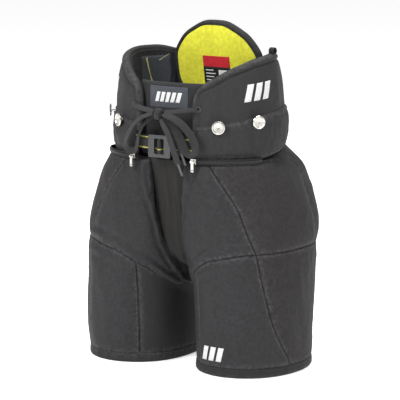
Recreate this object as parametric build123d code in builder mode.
"""Junior ice hockey pants: padded legs, waist band with belt and lace, kidney pads and a floating spine pad.

Units are millimetres. +Z is up, -Y is the front, +X is the wearer's left. The pants stand on their two
hems at Z = 0. Pieces are drawn about the body's own axis and moved by BODY_Y when saved, so that the
origin is the middle of the footprint's box. A pair of mirrored pieces is drawn once, on the wearer's left,
and saved twice.
"""

import os
from functools import lru_cache
from math import cos, pi, radians, sin

from build123d import *

os.makedirs("parts", exist_ok=True)

# ---- driving dimensions ----------------
BODY_Y = -7.0  # from the body's axis to the middle of the depth, front buckle to seat
REACH = 400  # longer than the pants on every side, for cutting shapes

# Each leg and its half of the hips: height, middle x, middle y, reach outward, reach inward, half depth,
# and how square the inward side is (1 is an ellipse, less is squarer).
LEG_SECTIONS = [
    (-6, 99, 0, 78, 78, 96, 0.92),
    (20, 99.5, 0, 80, 80, 99, 0.92),
    (70, 100, 0, 81, 81, 100, 0.92),
    (120, 99, 1, 82, 82, 103, 0.90),
    (165, 92, 4, 87, 80, 108, 0.85),
    (205, 78, 9, 100, 72, 113, 0.78),
    (245, 64, 14, 104, 58, 114, 0.73),
    (285, 50, 12, 107, 44, 110, 0.72),
    (325, 42, 7, 101, 36, 105, 0.72),
    (360, 42, 3, 98, 36, 104, 0.72),
]
OUTLINE_POINTS = 24

SKIN = 1.5  # outer nylon
GAP = 0.3  # clearance between layers, so that no two of them share space
PAD = 11.0  # foam
LINING = 1.5  # inner cloth
WALL = SKIN + GAP + PAD + GAP + LINING
GUARD = 2.5  # moulded plastic plates in the foam
SEAM = 0.3  # half the gap between two panels

HEM_H = 14.0  # height of the turned hem
WAIST_FRONT_Z, WAIST_SIDE_Z, WAIST_BACK_Z = 318.0, 334.0, 345.0  # top edge of the leg shells
BAND_RISE = 9.0  # from there to the bottom edge of the waist band, where the zip runs
BAND_A, BAND_B = 141.0, 107.0  # half width and half depth of the waist band
BAND_WALL = 14.0
# y, z along the band's top edge
BAND_TOP = [(-REACH, 369), (-110, 369), (-43, 387), (107, 405), (REACH, 405)]
GUSSET_HALF = 25.5
FLY_HALF = 55.0  # half the gap between the band's front ends

ZIP_X, ZIP_Y, ZIP_R = 42.0, 7.0, 106.5  # the extension zip runs on this arc about a vertical axis
ZIP_Z = 322.5
ZIP_START, ZIP_END, ZIP_REST = -87.0, -24.0, -83.5  # degrees from +X

KNOT = (0, -113, 391)
BUCKLE_Y, BUCKLE_Z = -110.8, 342.4
SPINE_BASE_Y, SPINE_BASE_Z, SPINE_LEAN = 76.6, 367.0, 10.0

# on the wearer's left, mirrored to the right
BUTTON_PLACES = [(87, -84, 380), (129, -43, 387), (45, 101.4, 392)]
EYELET_PLACE = (57, -92.3, 400)


BOX = [(-REACH, -REACH), (REACH, -REACH), (REACH, REACH), (-REACH, REACH)]  # wider than the pants

# ---- helpers ----------------
def save(piece, name):
    """Places a finished part about the origin, labels it and writes its STEP file."""
    placed = Pos(0, BODY_Y, 0) * piece
    placed.label = name
    export_step(placed, f"parts/{name}.step")


def both_sides(piece):
    """The wearer's left piece and its mirror image, as one part of separate solids."""
    with BuildPart() as pair:
        add(piece)
        add(mirror(piece, about=Plane.YZ))
    return pair.part


def save_pair(piece, name):
    """Saves the wearer's left piece, and its mirror image for the right."""
    save(piece, f"left_{name}")
    save(mirror(piece, about=Plane.YZ), f"right_{name}")


def prism(plane, points, amount, both=False):
    """A cutting shape: the polygon on a plane, extruded."""
    with BuildPart(plane) as cutter:
        with BuildSketch(plane):
            Polygon(*points, align=None)
        extrude(amount=amount, both=both)
    return cutter.part


def power(value, exponent):
    """Keeps the sign of value and raises its size to exponent."""
    return (abs(value) ** exponent) * (1 if value >= 0 else -1)


@lru_cache(maxsize=None)
def leg_form(inset):
    """The solid inside one leg and its half of the hips, shrunk by inset all round."""
    with BuildPart() as form:
        for z, mid_x, mid_y, outward, inward, depth, square in LEG_SECTIONS:
            outline = []
            for i in range(OUTLINE_POINTS):
                c, s = cos(2 * pi * i / OUTLINE_POINTS), sin(2 * pi * i / OUTLINE_POINTS)
                reach = (outward if c > 0 else inward) - inset
                edge = square if c < 0 else 0.5 + square / 2
                outline.append((mid_x + reach * power(c, edge), mid_y + (depth - inset) * power(s, edge)))
            with BuildSketch(Plane.XY.offset(z)):
                with BuildLine():
                    Spline(*outline, periodic=True)
                make_face()
        loft()
    return form.part


@lru_cache(maxsize=None)
def leg_layer(outer, inner):
    """One layer of the leg's wall, between two insets."""
    with BuildPart() as layer:
        add(leg_form(outer))
        add(leg_form(inner), mode=Mode.SUBTRACT)
    return layer.part


def cut_to(piece, keep=(), drop=()):
    """The part of a piece that lies in every keep shape and in no drop shape."""
    with BuildPart() as cut:
        add(piece)
        for shape in keep:
            add(shape, mode=Mode.INTERSECT)
        for shape in drop:
            add(shape, mode=Mode.SUBTRACT)
    return cut.part


def oval_ring(levels, inset, wall):
    """A ring between two stacks of ellipses: levels are (height, half width, half depth)."""
    forms = []
    for shrink in (inset, inset + wall):
        with BuildPart() as form:
            for z, half_width, half_depth in levels:
                with BuildSketch(Plane.XY.offset(z)):
                    Ellipse(half_width - shrink, half_depth - shrink)
            loft()
        forms.append(form.part)
    return cut_to(forms[0], drop=[forms[1]])


def facing(place, half_width, half_depth):
    """A plane at a place on an ellipse about the body's axis, facing straight out."""
    x, y, z = place
    out = Vector(x / half_width**2, y / half_depth**2, 0).normalized()
    return Plane(origin=place, x_dir=Vector(-out.Y, out.X, 0), z_dir=out)


# ---- where the panels part ----------------
# x, z of the seam across the thigh and of the slanting front seam, seen from the front
THIGH_SEAM = [(200, 190), (133, 187), (77, 174), (49, 155), (31, 141), (20, 105), (-30, 105)]
SIDE_SEAM = [(178, -20), (178, 15), (150, 190), (120, 257), (70, 325), (64, 380)]
INNER_X = 55.0  # inner thigh panel reaches this far out
FRONT_X = 26.0  # front panels start here, beside the gusset
PAD_X = 34.0  # foam starts here above the crotch


def leg_top():
    """Everything below the leg shells' top edge, which climbs towards the back."""
    edge = [
        (-REACH, WAIST_FRONT_Z), (-30, WAIST_FRONT_Z), (47, WAIST_SIDE_Z), (135, WAIST_BACK_Z),
        (REACH, WAIST_BACK_Z),
    ]
    return prism(Plane.YZ, [*edge, (REACH, -REACH), (-REACH, -REACH)], REACH, both=True)


def below_thigh_seam(gap):
    edge = [(x, z - gap) for x, z in THIGH_SEAM]
    return prism(Plane.XZ, [*edge, (-30, -REACH), (200, -REACH)], REACH, both=True)


def above_thigh_seam(gap):
    edge = [(x, z + gap) for x, z in THIGH_SEAM]
    return prism(Plane.XZ, [*edge, (-30, REACH), (200, REACH)], REACH, both=True)


def front_zone(gap):
    """In front of the slanting seam: extruded forward from the body's axis."""
    edge = [(x + gap, z) for x, z in SIDE_SEAM]
    return prism(Plane.XZ, [*edge, (-REACH, 380), (-REACH, -20)], REACH)


def back_zone(gap):
    """Behind the upright side seam, which runs out from near the hip's middle."""
    corner = (60, gap)
    far = (60 + 220, 118 + gap)
    points = [(-REACH, gap), corner, far, (280, REACH), (-REACH, REACH)]
    return prism(Plane.XY.offset(-50), points, 600)


def beyond_x(x):
    return prism(Plane.XY.offset(-50), [(x, -REACH), (REACH, -REACH), (REACH, REACH), (x, REACH)], 600)


def above_z(z):
    return prism(Plane.XY.offset(z), BOX, REACH)


lower, upper = below_thigh_seam(SEAM), above_thigh_seam(SEAM)
above_hem = above_z(HEM_H + GAP)
below_waist = leg_top()

# ---- leg shells: outer nylon panels --------------------------------
skin = leg_layer(0, SKIN)

front_lower = cut_to(skin, [lower, above_hem, front_zone(-SEAM), beyond_x(INNER_X + SEAM)])
save_pair(front_lower, "thigh_front_panel")
front_upper = cut_to(skin, [upper, below_waist, front_zone(-SEAM), beyond_x(FRONT_X)])
save_pair(front_upper, "hip_front_panel")
side_lower = cut_to(skin, [lower, above_hem, beyond_x(60)], [front_zone(SEAM), back_zone(-SEAM)])
save_pair(side_lower, "thigh_side_panel")
side_upper = cut_to(skin, [upper, below_waist, beyond_x(60)], [front_zone(SEAM), back_zone(-SEAM)])
save_pair(side_upper, "hip_side_panel")
inner_thigh = cut_to(skin, [lower, above_hem], [beyond_x(INNER_X - SEAM)])
save_pair(inner_thigh, "inner_thigh_panel")
back = cut_to(skin, [above_hem, below_waist, back_zone(SEAM), beyond_x(FRONT_X)])
back = cut_to(back, drop=[cut_to(below_thigh_seam(-SEAM), drop=[beyond_x(INNER_X + SEAM)])])
save_pair(back, "back_panel")

# ---- plastic guards, and the foam that holds them ----------------
pad_layer = leg_layer(SKIN + GAP, SKIN + GAP + PAD)
guard_layer = leg_layer(SKIN + GAP, SKIN + GAP + GUARD)
pocket_layer = leg_layer(SKIN / 2, SKIN + GAP + GUARD + GAP)


def thigh_window(grow):
    """Front and outer side of the thigh, between hem and thigh seam."""
    front = [(92 - grow, 32 - grow), (200, 32 - grow), (200, 168 + grow), (92 - grow, 158 + grow)]
    behind = prism(Plane.XZ.offset(-26 - grow), BOX, -REACH)
    return cut_to(prism(Plane.XZ, front, REACH, both=True), drop=[behind])


def hip_window(grow):
    """Outer side of the hip bone."""
    low, high = 206 - grow, 298 + grow
    side = [(-62 - grow, low), (72 + grow, low), (60 + grow, high), (-48 - grow, high)]
    return cut_to(prism(Plane.YZ, side, REACH), [beyond_x(100)])


thigh_guard = cut_to(guard_layer, [thigh_window(0)])
save(both_sides(thigh_guard), "thigh_guards")
hip_guard = cut_to(guard_layer, [hip_window(0)])
save(both_sides(hip_guard), "hip_guards")

thigh_pocket = cut_to(pocket_layer, [thigh_window(1.0)])
hip_pocket = cut_to(pocket_layer, [hip_window(1.0)])
front_pad = cut_to(
    pad_layer, [lower, above_hem, front_zone(-SEAM), beyond_x(INNER_X + SEAM)], [thigh_pocket]
)
save_pair(front_pad, "thigh_front_pad")
side_pad = cut_to(
    pad_layer, [lower, above_hem, beyond_x(60)], [front_zone(SEAM), back_zone(-SEAM), thigh_pocket]
)
save_pair(side_pad, "thigh_side_pad")
back_pad = cut_to(pad_layer, [lower, above_hem, back_zone(SEAM), beyond_x(INNER_X + SEAM)])
save_pair(back_pad, "thigh_back_pad")
inner_pad = cut_to(pad_layer, [lower, above_hem], [beyond_x(INNER_X - SEAM)])
save_pair(inner_pad, "inner_thigh_pad")
hip_pad = cut_to(pad_layer, [upper, below_waist, beyond_x(PAD_X)], [hip_pocket])
save_pair(hip_pad, "hip_pad")

# ---- leg lining and hem ----------------
lining_layer = leg_layer(WALL - LINING, WALL)
crotch_area = [(-REACH, 140), (PAD_X, 140), (PAD_X, REACH), (-REACH, REACH)]
open_crotch = prism(Plane.XZ, crotch_area, REACH, both=True)
leg_lining = cut_to(lining_layer, [above_hem, below_waist], [open_crotch])
save_pair(leg_lining, "leg_lining")

with BuildPart() as hem:
    add(leg_layer(0, WALL))
    with BuildSketch(Plane.XY):
        Rectangle(2 * REACH, 2 * REACH)
    extrude(amount=HEM_H, mode=Mode.INTERSECT)
save_pair(hem.part, "hem")

# ---- gusset and tailbone pad, in the middle ----------------
GUSSET_LINE = [
    (-97, 345), (-95, 321), (-87, 285), (-79, 240), (-72, 200), (-58, 167), (-28, 148), (12, 145.5),
    (52, 152),
    (88, 178), (106, 212), (113, 255), (110, 300), (104, 338), (100, 352),
]  # y, z of the outside, from the fly under the crotch to the small of the back
GUSSET_T = 3.0
inner_line = []
for before, here, after in zip(GUSSET_LINE, GUSSET_LINE[1:], GUSSET_LINE[2:]):
    along = Vector(after[0] - before[0], after[1] - before[1]).normalized()
    inner_line.append((here[0] - along.Y * GUSSET_T, here[1] + along.X * GUSSET_T))
with BuildPart() as gusset:
    with BuildSketch(Plane.YZ):
        with BuildLine():
            outside = Spline(*GUSSET_LINE[1:-1])
            inside = Spline(*inner_line)
            Line(outside @ 0, inside @ 0)
            Line(outside @ 1, inside @ 1)
        make_face()
    extrude(amount=GUSSET_HALF, both=True)
save(gusset.part, "crotch_gusset")

with BuildPart() as tailbone:
    with BuildSketch(Plane.XZ.offset(-96)):
        with Locations((0, 268)):
            RectangleRounded(46, 92, 14)
    extrude(amount=8)
    chamfer(tailbone.faces().sort_by(Axis.Y)[-1].edges(), length=2)
save(tailbone.part, "tailbone_pad")

# ---- waist band ----------------
BAND_LEVELS = [(316, 137, 103), (336, 140.5, 106.5), (362, 141, 107), (388, 140, 106), (410, 136, 102)]
band_edge = [
    (-REACH, WAIST_FRONT_Z + BAND_RISE),
    (-30, WAIST_FRONT_Z + BAND_RISE),
    (47, WAIST_SIDE_Z + BAND_RISE - 2),
    (130, WAIST_BACK_Z + BAND_RISE - 3), (REACH, WAIST_BACK_Z + BAND_RISE - 3),
]
band_zone = prism(Plane.YZ, [*band_edge, *reversed(BAND_TOP)], REACH, both=True)


def fly_gap(half):
    """The open front between the band's ends."""
    return prism(Plane.XZ, [(-half, -REACH), (half, -REACH), (half, 2 * REACH), (-half, 2 * REACH)], REACH)


def button_spots():
    """Where each suspender button stands on the band."""
    return [
        facing((side * x, y, z - 6), BAND_A, BAND_B) for side in (1, -1) for x, y, z in BUTTON_PLACES
    ]


LINING_A, LINING_B = 121.6, 87.6
lining_area = [*[(y, z - 3) for y, z in BAND_TOP], (REACH, 0), (-REACH, 0)]
lining_zone = prism(Plane.YZ, lining_area, REACH, both=True)
WEB_W, WEB_T, WEB_R, WEB_Y = 21.0, 1.6, 122.8, 17.0  # belt webbing on an arc across the front
WEB_HALF = 74.0


def webbing(width, thick, half):
    """A strip on the belt's arc, as wide as the belt is tall."""
    with BuildPart() as strip:
        with BuildSketch(Plane.XY.offset(346 - width / 2)):
            with Locations((0, WEB_Y)):
                Circle(WEB_R + thick / 2)
                Circle(WEB_R - thick / 2, mode=Mode.SUBTRACT)
            with Locations((0, -REACH / 2)):
                Rectangle(2 * half, REACH, mode=Mode.INTERSECT)
        extrude(amount=width)
    return strip.part


with BuildPart() as waist_band:
    add(cut_to(oval_ring(BAND_LEVELS, 0, BAND_WALL), [band_zone], [fly_gap(FLY_HALF)]))
    add(webbing(WEB_W + 1.2, WEB_T + 1.2, WEB_HALF + 1), mode=Mode.SUBTRACT)
    for spot in button_spots():
        with Locations(spot):
            Cylinder(2.8, 60, mode=Mode.SUBTRACT)
save(waist_band.part, "waist_band")

with BuildPart() as waist_lining:
    with BuildSketch(Plane.XY.offset(WAIST_FRONT_Z + 1)):
        Ellipse(LINING_A, LINING_B)
        Ellipse(LINING_A - LINING, LINING_B - LINING, mode=Mode.SUBTRACT)
    extrude(amount=100)
    add(lining_zone, mode=Mode.INTERSECT)
    add(fly_gap(FLY_HALF + 6), mode=Mode.SUBTRACT)
    for spot in button_spots():
        with Locations(spot):
            Cylinder(5.2, 60, mode=Mode.SUBTRACT)
save(waist_lining.part, "waist_lining")

# ---- kidney pads ----------------
KIDNEY_LEVELS = [(366, 134, 102), (400, 133, 101.5), (430, 131, 101), (460, 127, 97), (485, 122, 92)]
KIDNEY_TOP = [
    (-REACH, 424), (-104, 424), (-95, 430), (-89, 437), (-67, 458), (-33, 472), (5, 477), (50, 477),
    (80, 466),
    (REACH, 440),
]
kidney_area = [*[(y, z + 0.6) for y, z in BAND_TOP], *reversed(KIDNEY_TOP)]
kidney_zone = prism(Plane.YZ, kidney_area, REACH, both=True)
LACE_GAP_SIDE = [(46, 350), (46, 414), (52, 428), (62, 438), (90, 500)]  # x, z, the same on both sides
LACE_GAP = [*LACE_GAP_SIDE, *[(-x, z) for x, z in reversed(LACE_GAP_SIDE)]]
lace_gap = prism(Plane.XZ, LACE_GAP, REACH)
spine_gap = prism(Plane.XZ, [(-84, 300), (84, 300), (84, 520), (-84, 520)], -REACH)
KIDNEY_WALL = 12.3
for name, inset, wall in (("kidney_pad", 0, KIDNEY_WALL), ("kidney_lining", KIDNEY_WALL + GAP, LINING)):
    with BuildPart() as kidney:
        add(cut_to(oval_ring(KIDNEY_LEVELS, inset, wall), [kidney_zone, beyond_x(0)], [lace_gap, spine_gap]))
        with Locations(facing(EYELET_PLACE, 133, 101.5)):
            Cylinder(2.8, 60, mode=Mode.SUBTRACT)
    save_pair(kidney.part, name)

with BuildPart() as eyelet:
    with Locations((0, 0, -12)):
        Cylinder(2.5, 12.4, align=(Align.CENTER, Align.CENTER, Align.MIN))
    with Locations((0, 0, 0.4)):
        Cylinder(5, 1.0, align=(Align.CENTER, Align.CENTER, Align.MIN))
    Cylinder(1.9, 60, mode=Mode.SUBTRACT)
with BuildPart() as eyelets:
    with Locations(facing(EYELET_PLACE, 133, 101.5)):
        add(eyelet.part)
save(both_sides(eyelets.part), "lace_eyelets")

LOOP_PLACE, LOOP_W, LOOP_H = (117, 20, 477.4), 12.0, 11.0
with BuildPart() as hanger:
    with BuildSketch(Plane(origin=LOOP_PLACE, x_dir=(0, 1, 0), z_dir=(1, 0, 0))):
        with Locations((0, LOOP_H / 2)):
            RectangleRounded(LOOP_W, LOOP_H, 3)
            RectangleRounded(LOOP_W - 3.2, LOOP_H - 3.2, 1.4, mode=Mode.SUBTRACT)
    extrude(amount=4, both=True)
save(hanger.part, "hanging_loop")

# ---- spine pad ----------------
# half width, height
SPINE_OUTLINE = [(46, 0), (60, 24), (78, 62), (78, 106), (58, 134), (38, 146), (20, 155.5)]
SPINE_ROUND = 14.0
SPINE_T = 12.0
LEAN = radians(SPINE_LEAN)
spine_plane = Plane(
    origin=(0, SPINE_BASE_Y, SPINE_BASE_Z), x_dir=(1, 0, 0), z_dir=(0, -cos(LEAN), -sin(LEAN))
)


def spine_shape(plane, inset, thick):
    """The spine pad's rounded shield, shrunk by inset, extruded towards the wearer."""
    with BuildPart() as shield:
        with BuildSketch(plane) as outline:
            foot = [(w - inset, h + inset) for w, h in SPINE_OUTLINE[:2]]
            head = [(w - inset, h - inset / 2) for w, h in SPINE_OUTLINE[2:]]
            edge = foot + head
            Polygon(*edge, *[(-w, h) for w, h in reversed(edge)], align=None)
            fillet(outline.vertices(), radius=SPINE_ROUND)
        extrude(amount=thick)
    return shield.part


save(spine_shape(spine_plane, 0, SPINE_T), "spine_pad")
save(spine_shape(spine_plane.offset(SPINE_T + GAP), 8.0, LINING), "spine_lining")

with BuildPart() as label:
    with BuildSketch(spine_plane.offset(SPINE_T + 2 * GAP + LINING)):
        with Locations((0, 71)):
            Rectangle(48, 60)
    extrude(amount=0.6)
save(label.part, "care_label")

# ---- tongue behind the lace ----------------
with BuildPart() as tongue:
    with BuildSketch(Plane.XY.offset(WAIST_FRONT_Z + 4)):
        Ellipse(116.2, 86.2)
        Ellipse(109.2, 79.2, mode=Mode.SUBTRACT)
    extrude(amount=114)
    with BuildSketch(Plane.XZ):
        with Locations((0, WAIST_FRONT_Z + 4 + 57)):
            RectangleRounded(116, 114, 9)
    extrude(amount=REACH, mode=Mode.INTERSECT)
save(tongue.part, "lace_tongue")

# ---- belt and buckle ----------------
BUCKLE_W, BUCKLE_H, BUCKLE_T = 39.5, 34.0, 3.4
OPENING_W, OPENING_H = 17.5, 23.0
BAR_R = 1.5
with BuildPart() as belt:
    add(webbing(WEB_W, WEB_T, WEB_HALF))
    with Locations((0, BUCKLE_Y, BUCKLE_Z)):
        Cylinder(BAR_R + 1.8, OPENING_H - 3)
        with Locations((0, 2.4, 0)):
            Box(2.4, 3.6, OPENING_H - 3)
        Cylinder(BAR_R + GAP, OPENING_H, mode=Mode.SUBTRACT)
save(belt.part, "belt_webbing")

with BuildPart() as buckle:
    with BuildSketch(Plane.XZ.offset(-BUCKLE_Y - BUCKLE_T / 2)):
        with Locations((0, BUCKLE_Z)):
            RectangleRounded(BUCKLE_W, BUCKLE_H, 2.2)
            RectangleRounded(OPENING_W, OPENING_H, 1.0, mode=Mode.SUBTRACT)
    extrude(amount=BUCKLE_T)
    fillet(buckle.faces().sort_by(Axis.Y)[0].outer_wire().edges(), radius=0.8)
    with Locations((0, BUCKLE_Y, BUCKLE_Z)):
        Cylinder(1.3, OPENING_H + 4.4, mode=Mode.SUBTRACT)
save(buckle.part, "buckle_frame")

with BuildPart() as bar:
    with Locations((0, BUCKLE_Y, BUCKLE_Z)):
        Cylinder(1.1, OPENING_H + 3.8)
        Cylinder(BAR_R, OPENING_H - 0.6)
save(bar.part, "buckle_bar")

# ---- suspender buttons ----------------
BUTTON_R = 10.2
CAP_OUTLINE = [
    (0, 4.6), (0, 6.0), (7.4, 6.3), (8.4, 7.4), (9.6, 7.2), (BUTTON_R, 6.2), (9.6, 5.1), (8, 4.6), (0, 4.6),
]  # radius, height off the band
with BuildPart() as cap:
    with BuildSketch(Plane.XZ):
        with BuildLine():
            Polyline(*CAP_OUTLINE)
        make_face()
    revolve(axis=Axis.Z)
with BuildPart() as caps:
    with Locations(*button_spots()):
        add(cap.part)
save(caps.part, "button_caps")

UPWARD = (Align.CENTER, Align.CENTER, Align.MIN)
BUTTON_GRIP = 15.2  # how far the post reaches in through the band to its washer
with BuildPart() as post:
    with Locations((0, 0, -BUTTON_GRIP)):
        Cylinder(2.5, BUTTON_GRIP + 4.6, align=UPWARD)
    with Locations((0, 0, 0.4)):
        Cylinder(4.6, 1.6, align=UPWARD)
    with Locations((0, 0, -BUTTON_GRIP - 1.4)):
        Cylinder(4.6, 1.4, align=UPWARD)
with BuildPart() as posts:
    with Locations(*button_spots()):
        add(post.part)
save(posts.part, "button_posts")


# ---- extension zips ----------------
def arc_strip(inner, outer, low, high, start, end):
    """A strip on the zip's arc between two radii and two heights."""
    with BuildPart() as strip:
        with BuildSketch(Plane.XZ):
            with Locations(((inner + outer) / 2, (low + high) / 2)):
                Rectangle(outer - inner, high - low)
        revolve(axis=Axis.Z, revolution_arc=end - start)
    return Pos(ZIP_X, ZIP_Y, 0) * Rot(0, 0, start) * strip.part


with BuildPart() as zip_track:
    low, high = WAIST_FRONT_Z + 0.6, WAIST_FRONT_Z + BAND_RISE - 0.6
    add(arc_strip(ZIP_R - 1.4, ZIP_R, low, high, ZIP_START, ZIP_END))
    add(arc_strip(ZIP_R, ZIP_R + 1.6, ZIP_Z - 1.5, ZIP_Z + 1.5, ZIP_START + 1, ZIP_END - 1))
save(both_sides(zip_track.part), "zip_tracks")

rest = radians(ZIP_REST)
zip_plane = Plane(
    origin=(ZIP_X + ZIP_R * cos(rest), ZIP_Y + ZIP_R * sin(rest), ZIP_Z),
    x_dir=(-sin(rest), cos(rest), 0),
    z_dir=(cos(rest), sin(rest), 0),
)
PULL_OUT = 6.5  # from the zip's face to the pull's pivot
with BuildPart(zip_plane) as slider:
    with Locations((0, 0, 2.1)):
        Box(9, 7.6, 1.6, align=(Align.CENTER, Align.CENTER, Align.MIN))
    for side in (1, -1):
        with Locations((0, side * 3.0, 0.4)):
            Box(8, 1.6, 2.5, align=(Align.CENTER, Align.CENTER, Align.MIN))
        with Locations((side * 3.2, 0, 3.6)):
            Box(1.4, 3.2, 3.6, align=(Align.CENTER, Align.CENTER, Align.MIN))
    with Locations((0, 0, PULL_OUT)):
        Cylinder(0.7, 6.4, rotation=(0, 90, 0))
save_pair(slider.part, "zip_slider")

with BuildPart(zip_plane) as pull:
    with Locations((0, 0, PULL_OUT)):
        Cylinder(1.7, 4.4, rotation=(0, 90, 0))
        Cylinder(0.76, 10, rotation=(0, 90, 0), mode=Mode.SUBTRACT)
    with Locations((0, -8.3, PULL_OUT + 0.4)):
        Box(4.4, 13.4, 1.3)
    with Locations((0, -12.4, PULL_OUT + 0.4)):
        Cylinder(1.1, 10, mode=Mode.SUBTRACT)
save_pair(pull.part, "zip_pull")


# ---- lace ----------------
LACE_R = 1.5
EYELET_EXIT = (58, -95.6, 400)
RUN_ROUTE = [EYELET_EXIT, (45, -102.5, 398.6), (28, -108.5, 396), (9.6, -111.8, 394.2)]
LEFT_LOOP = [
    (9.4, -114.5, 391.5), (20, -117, 390), (34, -118.5, 386), (46.5, -118, 378), (56.5, -116, 367),
    (63, -113.5, 355.5), (65, -111.5, 344.5), (61.8, -109.8, 336.3), (54.2, -109, 332.8),
    (46.6, -109.3, 336.2), (43, -110.5, 344.3), (38.5, -111.3, 356), (31, -111.8, 367.5),
    (21, -112, 377.8), (9.4, -111.5, 386.5),
]
RIGHT_LOOP = [
    (-9.4, -115, 391.5), (-20.5, -117, 388.5), (-33, -117.5, 382), (-44, -115.5, 372.5),
    (-53.5, -112.5, 361.5), (-61.5, -109, 350), (-65, -106.5, 340.5), (-62.3, -104.8, 333),
    (-54.7, -104, 330.2), (-47.1, -104.3, 333.2), (-43.6, -105.6, 341.5), (-41, -107.2, 353),
    (-36, -109, 364.5), (-28, -110.5, 374.5), (-18.5, -111.3, 382.2),
    (-9.4, -111.5, 387.2),
]
FRONT_TAIL = [
    (6, -117, 383.2), (13, -119, 376), (20.5, -119.4, 365), (26, -118.4, 350), (30.5, -116.4, 334),
    (35.5, -113.4, 318),
]
REAR_TAIL = [
    (6.5, -112.8, 383.2), (16, -114, 374.5), (26.5, -113.6, 363), (34, -112.4, 349), (39, -110.4, 334),
]


def lace(route):
    """A round tube that follows the route with arcs as large as its runs allow."""
    points = [Vector(*p) for p in route]
    radii = []
    for before, here, after in zip(points, points[1:], points[2:]):
        turn = radians((here - before).get_angle(after - here))
        radii.append(0.45 * min((here - before).length, (after - here).length) / tan_half(turn))
    print("lace arcs", [round(r, 1) for r in radii])
    with BuildPart() as tube:
        with BuildLine() as path:
            middle = FilletPolyline(*route, radius=radii)
        with BuildSketch(Plane(origin=middle @ 0, z_dir=middle % 0)):
            Circle(LACE_R)
        sweep(path=path.wires()[0])
    expected = pi * LACE_R**2 * path.wires()[0].length
    print("lace volume", round(tube.part.volume, 1), "of", round(expected, 1))
    return tube.part


def tan_half(turn):
    return sin(turn / 2) / cos(turn / 2)


save_pair(lace(RUN_ROUTE), "lace_run")
save(lace(LEFT_LOOP), "left_bow_loop")
save(lace(RIGHT_LOOP), "right_bow_loop")
save(lace(FRONT_TAIL), "front_lace_tail")
save(lace(REAR_TAIL), "rear_lace_tail")

with BuildPart() as knot:
    with Locations(KNOT):
        Box(15.6, 8.4, 12)
    fillet(knot.edges(), radius=3)
save(knot.part, "lace_knot")


def tip(route, length):
    """A crimped lace tip that carries straight on from the end of a route."""
    end, before = Vector(*route[-1]), Vector(*route[-2])
    along = (end - before).normalized()
    with BuildPart() as aglet:
        with BuildSketch(Plane(origin=end + along * 0.05, z_dir=along)):
            Circle(LACE_R + 0.4)
        extrude(amount=length)
    return aglet.part


with BuildPart() as tips:
    add(tip(FRONT_TAIL, 20))
    add(tip(REAR_TAIL, 14))
save(tips.part, "lace_tips")
